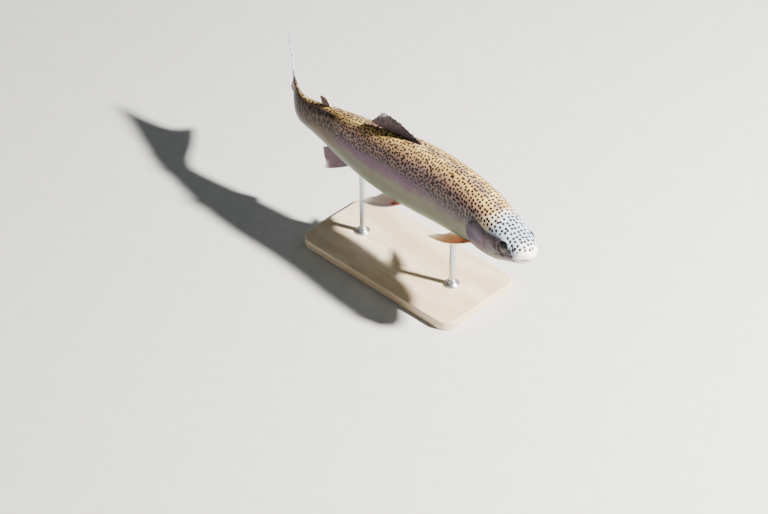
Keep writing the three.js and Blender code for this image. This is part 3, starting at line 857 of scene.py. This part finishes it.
def closed_rings(name, points, material, slot, **given):
    """A piece from a grid of points whose rows are closed rings and whose first and last rows are
    closed by a fan round their middle."""
    ring_count, sides = points.shape[:2]
    ring, col = np.meshgrid(np.arange(ring_count - 1) * sides, np.arange(sides), indexing="ij")
    after = (col + 1) % sides
    walls = np.stack([ring + col, ring + sides + col, ring + sides + after, ring + after], -1)
    turn = np.arange(sides)
    first = np.stack([np.full(sides, ring_count * sides), turn, (turn + 1) % sides], -1)
    last = np.stack([turn, np.full(sides, ring_count * sides + 1), (turn + 1) % sides], -1)
    last[:, [0, 2]] += (ring_count - 1) * sides

    def listed(grid):
        ends = [grid[0].mean(axis=0), grid[-1].mean(axis=0)]
        return np.concatenate([grid.reshape(ring_count * sides, -1), np.reshape(ends, (2, -1))])

    faces = outwards(listed(points), [walls.reshape(-1, 4), first, last])
    given = {kind: {key: listed(grid) for key, grid in group.items()} for kind, group in given.items()}
    return piece(name, listed(points), faces, material, slot, **given)


def outwards(points, faces):
    """The faces, turned round if together they enclose less than nothing: the sum over all their
    triangles of the volume that each spans with the origin."""
    volume = 0
    for group in faces:
        for k in range(1, group.shape[1] - 1):
            a, b, c = points[group[:, 0]], points[group[:, k]], points[group[:, k + 1]]
            volume += np.einsum("ij,ij->", a, np.cross(b, c))
    return faces if volume > 0 else [group[:, ::-1] for group in faces]


eye_finish = Finish("trout_eye", Coat_Weight=0.3, Coat_Roughness=0.05, Specular_IOR_Level=0.35)
eye_x, eye_y, _ = eye_finish.split(eye_finish.attribute("eye", "Vector"))
from_middle = (eye_x * eye_x + eye_y * eye_y).math("SQRT")
teardrop = from_middle - eye_x.smooth(0.1, 0.6) * 0.07
off_middle = from_middle + 0.05
streak_place = eye_finish.vector(eye_x / off_middle, eye_y / off_middle, from_middle * 0.4)
streaks = eye_finish.noise(streak_place, 6.0, 3.0)
iris = (streaks.smooth(0.35, 0.65)).paint(IRIS_DARK, IRIS_BROWN)
iris = (eye_y.math("ABSOLUTE").smooth(0.35, 0.75) * 0.75).paint(iris, IRIS_DARK)
iris = from_middle.band(PUPIL + 0.02, PUPIL + 0.08, 0.03).paint(iris, IRIS_BRASS)
iris = from_middle.smooth(0.82, 0.93).paint(iris, PUPIL_BLACK)
EYE = eye_finish.wear(
    Base_Color=teardrop.smooth(PUPIL + 0.02, PUPIL - 0.02).paint(iris, PUPIL_BLACK),
    Roughness=0.18 + 0.2 * streaks,
    Metallic=from_middle.band(PUPIL + 0.04, 0.8, 0.05) * 0.15,
    Normal=eye_finish.bump(streaks, 0.0001, 0.5),
)
for side_name, side in (("left", 1), ("right", -1)):
    ball, face = eye_ball(side)
    eye = closed_rings(f"trout_eye_{side_name}", swimming(ball), EYE, "eye", vectors={"eye": face})
    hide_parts(f"eye_{side_name}")

# ---------------------------------------------------------------- fins
# Thin fins of a hard cast resin, each a fan of rays with a sunk web between them, a stiff leading ray
# and a frayed rear margin. Their roots swell into the skin.
GAP = 0.35
FIN_GRAIN = 6


def lerp(ends, share):
    return ends[0] + (ends[1] - ends[0]) * share


def rounded(share, corner):
    return np.sqrt(1 - (1 - np.minimum(share / corner, 1)) ** 2)


def place(along, out, up):
    return np.stack(np.broadcast_arrays(along, out, up), -1).astype(float)


def fin(
    name, node, slot, material, rays, root, tip, flat, thick,
    bow=(0, 0, 0), fray=0.04, wave=0.5, swell=1.0,
):
    """A blade over a share across its rays and a reach from root to tip. Its middle runs straight from
    root to tip, bowed by a parabola at its front, with shallow waves. Its half thickness falls from
    root to tip, swells on each ray, which forks half way out, and closes round the margins. Near the
    root it swells into the body by a falling exponential."""
    share = np.linspace(0, 1, rays * FIN_GRAIN + 1)[:, None]
    reach = np.linspace(0, 1, 45)[None, :]
    beat = 2 * np.pi * rays * share
    forked = ramp(reach, 0.4, 0.65)
    ray = 0.5 + 0.5 * ((1 - forked) * np.cos(beat) + forked * np.cos(2 * beat))
    frayed = reach * (1 - fray * (1 - ray) * reach**4 * ramp(share, 0.02, 0.1))
    middle = root(share) * (1 - frayed[..., None]) + tip(share) * frayed[..., None]
    arc = 4 * frayed * (1 - frayed) * (1 - share)
    middle = middle + arc[..., None] * np.array(bow, float)
    flat = unit(np.array(flat, float))
    ripple = wave * np.sin(2 * np.pi * (1.7 * share + 0.6 * reach)) * reach**1.5 * ramp(share, 0, 0.3)
    middle = middle + ripple[..., None] * flat
    margin = np.sqrt(1 - (2 * share - 1) ** 24) * np.sqrt(1 - reach**30)
    half = lerp(thick, reach) / 2 * (0.55 + 0.45 * ray) + 0.3 * bell(share, 0.05) * (1 - reach)
    half = (half + swell * np.exp(-reach / 0.05)) * margin
    upper = middle + half[..., None] * flat
    lower = middle - half[..., None] * flat
    across, out = half.shape
    number = np.arange(across * out).reshape(across, out)
    under = number + across * out
    under[0], under[-1] = number[0], number[-1]
    under[:, -1] = number[:, -1]

    def quads(grid):
        return np.stack([grid[:-1, :-1], grid[1:, :-1], grid[1:, 1:], grid[:-1, 1:]], -1).reshape(-1, 4)

    ring = np.r_[number[:, 0], under[::-1, 0][1:-1]]
    points = swimming(np.concatenate([upper.reshape(-1, 3), lower.reshape(-1, 3)]))
    values = np.stack(np.broadcast_arrays(share, reach, ray), -1).reshape(-1, 3)
    base_fan = np.stack([ring[1:-1], ring[2:], np.full(len(ring) - 2, ring[0])], -1)
    faces = [quads(number), quads(under)[:, ::-1], base_fan[:, ::-1]]
    used, again = np.unique(np.concatenate([np.ravel(f) for f in faces]), return_inverse=True)
    split = np.cumsum([f.size for f in faces])[:-1]
    faces = [part.reshape(-1, f.shape[1]) for part, f in zip(np.split(np.ravel(again), split), faces)]
    straight = np.concatenate([upper.reshape(-1, 3), lower.reshape(-1, 3)])[used]
    made = piece(
        name,
        points[used],
        outwards(points[used], faces),
        material,
        slot,
        vectors={"fin": np.tile(values, (2, 1))[used], "straight": straight},
    )
    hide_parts(node)
    return made


def fin_finish(name, base, tip, edge, spots=0.0, glow=0.3, root=None, root_spot=False, below=None):
    """A fin's colours: its base and tip by reach, darker webs than rays, a pale leading edge and tip
    corner, and small dark spots. Some fins have a root of another colour, one dark spot near it or
    another colour below their middle ray. The glow is how much light passes through the thin blade."""
    finish = Finish(
        name, Coat_Weight=0.15, Coat_Roughness=0.2, Specular_IOR_Level=0.3, Subsurface_Weight=glow,
        Subsurface_Radius=(1.0, 0.8, 0.7), Subsurface_Scale=0.004,
    )
    share, reach, ray = finish.split(finish.attribute("fin", "Vector"))
    straight = finish.attribute("straight", "Vector")
    cloud = finish.noise(straight, 0.25, 3.0)
    colour = (reach + (cloud - 0.5) * 0.5).smooth(0.2, 1.0).paint(base, tip)
    # A colour below the middle ray: on the tail fin, its darker lower lobe, which is painted shade.
    if below:
        colour = share.smooth(0.45, 0.62).paint(colour, below)
    if root:
        colour = (reach + (cloud - 0.5) * 0.3).smooth(0.45, 0.1).paint(colour, root)
    colour = ((1 - ray) * 0.45 * reach.smooth(0.02, 0.2)).paint(colour, shade("5f4c50"))
    pale = (1 - share.smooth(0.02, 0.07)) * reach.smooth(0.1, 0.4)
    pale = pale.math("MAXIMUM", reach.smooth(0.78, 0.96) * share.smooth(0.55, 0.15))
    colour = (pale * 0.85).paint(colour, edge)
    if spots:
        cells = {"voronoi_dimensions": "2D", "feature": "F1"}
        run, _, up = finish.split(straight)
        at = finish.vector(run / 3.6, up / 3.2)
        near = finish.node("ShaderNodeTexVoronoi", cells, {"Vector": at, "Scale": 1.0, "Randomness": 0.8})
        dark = near.smooth(0.42, 0.3) * spots
        colour = dark.paint(colour, SPOT)
    if root_spot:
        away = ((share - 0.35) * (share - 0.35) * 4 + (reach - 0.22) * (reach - 0.22) * 9).math("SQRT")
        colour = (away.smooth(0.3, 0.16) * 0.85).paint(colour, shade("3b1c16"))
    grain = finish.noise(straight, 1.5, 3.0)
    return finish.wear(
        Base_Color=colour, Roughness=0.35 + 0.25 * grain, Normal=finish.bump(grain, 0.0002, 0.5)
    )


DORSAL_FINISH = fin_finish(
    "dorsal_fin", shade("30151d"), shade("4c333c"), shade("ece8e8"), spots=0.9, glow=0.1
)
ADIPOSE_FINISH = fin_finish("adipose_fin", shade("7a4f3e"), shade("6b4538"), shade("ddd4c6"), spots=0.6)
# The tail fin's bluish-white tip is partly a painted glow of light through its blade; its darker lower lobe
# is painted shade, and its dark root carries on the tail stalk's painted shade.
CAUDAL_FINISH = fin_finish(
    "caudal_fin", shade("737882"), shade("a3b7cc"), shade("cfdfee"), spots=0.6, glow=0.6,
    root=shade("3d3236"), below=shade("6a5b60"),
)
ANAL_FINISH = fin_finish("anal_fin", shade("6e4f60"), shade("6a5662"), shade("f4f8f6"), glow=0.2)
PECTORAL_FINISH = fin_finish(
    "pectoral_fin", shade("d69f74"), shade("b5a582"), shade("ece2c4"), glow=0.6, root=shade("e8946a"),
    root_spot=True,
)
PELVIC_FINISH = fin_finish(
    "pelvic_fin", shade("b4aeb4"), shade("a9b4b8"), shade("f4f8fa"), glow=0.5, root=shade("d08a82"),
    root_spot=True,
)

DORSAL = {"from": (159, 200), "back": (50, 25), "up": (17.5, -0.5), "lean": 2, "bow": 3.5}
ANAL = {"from": (250, 282), "back": (46, 13), "down": (26, 7), "bow": 2}
ADIPOSE = {"from": (280, 292), "back": 5, "up": 7.5}
CAUDAL = {"length": 61, "notch": 42, "above": 42, "below": 27, "bow": 3}
ROOT_SUNK = 1.2


def dorsal_tip(share):
    along = lerp(DORSAL["from"], share)
    reach = 0.85 + 0.15 * rounded(share, 0.3)
    behind = lerp(DORSAL["back"], share**0.8) * reach
    up = back_at(along) + GAP + lerp(DORSAL["up"], share) * reach
    return place(along + behind, DORSAL["lean"] * -reach, up)


def anal_tip(share):
    along = lerp(ANAL["from"], share)
    reach = 0.9 + 0.1 * rounded(share, 0.2)
    behind = lerp(ANAL["back"], share**0.7) * reach
    return place(along + behind, 0, belly_at(along) - GAP - lerp(ANAL["down"], share) * reach)


def adipose_tip(share):
    high = 0.25 + 0.75 * np.sqrt(np.sin(np.pi * (0.12 + 0.5 * share)))
    along = lerp(ADIPOSE["from"], share)
    return place(along + ADIPOSE["back"], 0, back_at(along) + GAP + ADIPOSE["up"] * high)


def caudal_tip(share):
    side = 1 - 2 * share
    fork = CAUDAL["notch"] + (CAUDAL["length"] - CAUDAL["notch"]) * np.abs(side) ** 1.3
    corner = 0.9 + 0.1 * rounded(1 - np.abs(side), 0.12)
    up = np.where(side > 0, CAUDAL["above"], -CAUDAL["below"]) * np.abs(side) ** 0.85
    return place(BODY_LENGTH + GAP + fork * corner, 0, up * corner + 0.5)


def on_back(ends):
    return lambda share: place(lerp(ends, share), 0, back_at(lerp(ends, share)) - ROOT_SUNK)


def on_belly(ends):
    return lambda share: place(lerp(ends, share), 0, belly_at(lerp(ends, share)) + ROOT_SUNK)


def caudal_root(share):
    up = lerp((back_at(BODY_LENGTH) - 1, belly_at(BODY_LENGTH) + 1), share)
    return place(BODY_LENGTH - 4, 0, up)


ACROSS = (0, 1, 0)
fin(
    "trout_dorsal_fin", "dorsal_fin", "fins_dark", DORSAL_FINISH, 12,
    on_back(DORSAL["from"]), dorsal_tip, ACROSS, (1.7, 0.6), bow=(0, 0, DORSAL["bow"]),
)
fin(
    "trout_anal_fin", "anal_fin", "fins_pale", ANAL_FINISH, 11,
    on_belly(ANAL["from"]), anal_tip, ACROSS, (1.7, 0.6), bow=(0, 0, -ANAL["bow"]),
)
fin(
    "trout_adipose_fin", "adipose_fin", "fins_dark", ADIPOSE_FINISH, 5,
    on_back(ADIPOSE["from"]), adipose_tip, ACROSS, (2.6, 1.6), fray=0.0, wave=0.0, swell=0.6,
)
fin(
    "trout_caudal_fin", "caudal_fin", "fins_tail", CAUDAL_FINISH, 18,
    caudal_root, caudal_tip, ACROSS, (2.6, 1.0), bow=(0, -CAUDAL["bow"], 0), swell=0.3,
)

PECTORAL = {
    "root": {"along": (69, 76), "turn": (0.7, 0.77)},
    "bow": (2, 6),
    "first": (57, 14.5, 16),
    "last": (28, 2, 3),
}
PELVIC = {
    "root": {"along": (173, 183), "turn": (0.81, 0.88)},
    "bow": (2, 5),
    "first": (50, 9, 15.5),
    "last": (24, -5, 4),
}


def paired_fin(name, sizes, side, material, rays):
    """A fin rooted on the flank at a share of a half turn. Its tip lies behind, out from and below its
    root, by distances that fall from the first ray to the last."""

    def root(share, grow=0.0):
        along = lerp(sizes["root"]["along"], share)
        turn = np.pi * lerp(sizes["root"]["turn"], share)
        bare = body_form(along, side * turn)
        return bare + body_facing(along, side * turn) * grow

    def tip(share):
        reach = 0.92 + 0.08 * rounded(share, 0.25)
        fold = share**0.8
        behind, out, down = (lerp(pair, fold) * reach for pair in zip(sizes["first"], sizes["last"]))
        return root(share) + place(behind, side * out, -down)

    out, down = sizes["bow"]
    side_name = "left" if side > 0 else "right"
    fin(
        f"trout_{name}_{side_name}", f"{name}_{side_name}", "fins_pale", material, rays,
        lambda share: root(share, -2.0), tip, (0, 0.35 * side, 1), (1.7, 0.6), bow=(0, side * out, -down),
    )


for side in (1, -1):
    paired_fin("pectoral_fin", PECTORAL, side, PECTORAL_FINISH, 12)
    paired_fin("pelvic_fin", PELVIC, side, PELVIC_FINISH, 10)

# ---------------------------------------------------------------- stand
# A flat base of pale ash with rounded corners and a satin varnish, and two satin steel rods, each
# screwed into it through a small turned collar. Their tops are let into the belly, which hides them.
BASE_HIGH = np.array(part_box("stand_base")[1]) / MM
BASE_CORNER = 14
EDGE_ROUNDING = 1.4
CORNER_STEPS = 16


def base_ring(inset, height):
    """A level ring round the base: a rectangle with quarter circles for corners, drawn in by an inset."""
    centres = [(1, -1), (1, 1), (-1, 1), (-1, -1)]
    half = BASE_HIGH[:2] - BASE_CORNER
    angle = np.linspace(0, np.pi / 2, CORNER_STEPS)
    ring = []
    for quarter, (sx, sy) in enumerate(centres):
        turn = angle + (quarter - 1) * np.pi / 2
        x = sx * half[0] + (BASE_CORNER - inset) * np.cos(turn)
        y = sy * half[1] + (BASE_CORNER - inset) * np.sin(turn)
        ring.append(place(x, y, height))
    return np.concatenate(ring)


top = BASE_HIGH[2]
quarter = np.linspace(0, np.pi / 2, 6)
profile = [(EDGE_ROUNDING * (1 - np.sin(q)), EDGE_ROUNDING * (1 - np.cos(q))) for q in quarter]
rings = [base_ring(inset, rise) for inset, rise in profile]
rings += [base_ring(inset, top - rise) for inset, rise in reversed(profile)]
inner = rings[-1].copy()
shrunk = [inner * (1 - s, 1 - s, 1) for s in (0.02, 0.3, 0.6, 0.9)]
under = [rings[0] * (1 - s, 1 - s, 1) for s in (0.9, 0.5, 0.02)]
base_points = np.stack(under + rings + shrunk) * MM
wood = Finish("stand_ash", Coat_Weight=0.3, Coat_Roughness=0.25)
figure = wood.noise(wood.stretched(wood.here(), 9.0, 70.0, 70.0), 1.0, 4.0, 0.55)
pores = wood.noise(wood.stretched(wood.here(), 60.0, 900.0, 900.0), 1.0, 2.0)
tone = figure.smooth(0.35, 0.65).paint(shade("d9c8ac"), shade("c7b08d"))
tone = (pores.smooth(0.58, 0.7) * 0.35).paint(tone, shade("9d8466"))
ASH = wood.wear(Base_Color=tone, Roughness=0.42 + 0.2 * pores, Normal=wood.bump(pores, 0.0001, 0.4))
base = closed_rings("stand_board", base_points, ASH, "stand_board")
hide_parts("stand_base")

ROD_SIDES = 48
ROD_INTO_BELLY = 3.5
COLLAR = [(0.0, 7.0), (0.7, 7.6), (1.4, 7.6), (2.2, 6.8), (2.6, 5.0), (4.2, 4.2), (5.6, 4.0), (6.0, 3.2)]
steel = Finish("stand_steel", Metallic=1.0)
turned_lines = steel.noise(steel.stretched(steel.here(), 60.0, 60.0, 4000.0), 1.0)
steel_tone = turned_lines.paint(shade("b9bbbd"), shade("c9cbcc"))
STEEL = steel.wear(
    Base_Color=steel_tone, Roughness=0.28 + 0.14 * turned_lines, Normal=steel.bump(turned_lines, 0.00002, 0.5)
)
for end in ("front", "rear"):
    low, high = (np.array(corner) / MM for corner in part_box(f"stand_rod_{end}"))
    middle = (low + high) / 2
    radius = (high[0] - low[0]) / 2
    end_height = high[2] + ROD_INTO_BELLY
    heights = [low[2] - 0.3 + rise for rise, _ in COLLAR]
    heights += [low[2] + 6.4, end_height - 1.0, end_height - 0.3, end_height]
    radii = [r for _, r in COLLAR] + [radius, radius, radius * 0.93, radius * 0.8]
    around = np.linspace(0, 2 * np.pi, ROD_SIDES, endpoint=False)
    ring = np.stack([np.cos(around), np.sin(around)], -1)
    shape = [place(middle[0] + r * ring[:, 0], middle[1] + r * ring[:, 1], z) for z, r in zip(heights, radii)]
    rod = closed_rings(f"stand_post_{end}", np.stack(shape) * MM, STEEL, "stand_metal")
    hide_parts(f"stand_rod_{end}")

# ---------------------------------------------------------------- stage
# A plain pale floor, a soft key light high on the fish's left and front, a wide soft fill and a camera
# that looks down on the fish's right flank from ahead of it.
floor_finish = Finish("floor_paper", Roughness=0.9)
floor_grain = floor_finish.noise(floor_finish.here(), 60.0, 4.0)
floor_tone = floor_grain.smooth(0.2, 0.8).paint(shade("c2c2bf"), shade("c8c8c5"))
FLOOR = floor_finish.wear(Base_Color=floor_tone)
floor_mesh = bpy.data.meshes.new("floor")
FLOOR_HALF = 6.0
corners = [(x * FLOOR_HALF, y * FLOOR_HALF, 0) for x, y in ((-1, -1), (1, -1), (1, 1), (-1, 1))]
floor_mesh.from_pydata(corners, [], [(0, 1, 2, 3)])
floor_mesh.materials.append(FLOOR)
floor = bpy.data.objects.new("floor", floor_mesh)
bpy.context.scene.collection.objects.link(floor)


def soft_light(name, towards, distance, size, power, tint, shine=1.0):
    """A square soft light at a distance from the fish in a direction, facing it."""
    data = bpy.data.lights.new(name, "AREA")
    data.shape = "SQUARE"
    data.size = size
    data.energy = power
    data.color = tint
    data.specular_factor = shine
    light = bpy.data.objects.new(name, data)
    direction = Vector(towards).normalized()
    light.location = direction * distance + Vector((0, 0, SWIM_HEIGHT * MM))
    light.rotation_euler = direction.to_track_quat("Z", "Y").to_euler()
    bpy.context.scene.collection.objects.link(light)


soft_light("key", (0.73, 0.28, 0.63), 2.0, 0.12, 310, (1.0, 0.97, 0.92))
soft_light("rim", (0.1, 1.0, 0.5), 2.0, 1.2, 4, (0.88, 0.94, 1.0))
soft_light("fill", (-0.1, -1.0, 0.5), 2.6, 2.0, 9, (0.95, 0.96, 1.0), shine=0.3)
world = bpy.data.worlds.new("studio")
world.use_nodes = True
world.node_tree.nodes["Background"].inputs["Color"].default_value = (0.82, 0.87, 0.92, 1)
world.node_tree.nodes["Background"].inputs["Strength"].default_value = 0.09
bpy.context.scene.world = world

CAMERA_TURN = 44.0
CAMERA_RISE = 38.6
CAMERA_DISTANCE = 2.025
CAMERA_AIM = Vector((0.0191, -0.052, 0.0505))
turned = math.radians(CAMERA_TURN)
raised = math.radians(CAMERA_RISE)
towards_camera = Vector(
    (math.sin(turned) * math.cos(raised), -math.cos(turned) * math.cos(raised), math.sin(raised))
)
lens = bpy.data.cameras.new("camera")
lens.lens = 100
lens.sensor_width = 36
camera = bpy.data.objects.new("camera", lens)
camera.location = CAMERA_AIM + towards_camera * CAMERA_DISTANCE
camera.rotation_euler = towards_camera.to_track_quat("Z", "Y").to_euler()
bpy.context.scene.collection.objects.link(camera)
bpy.context.scene.camera = camera
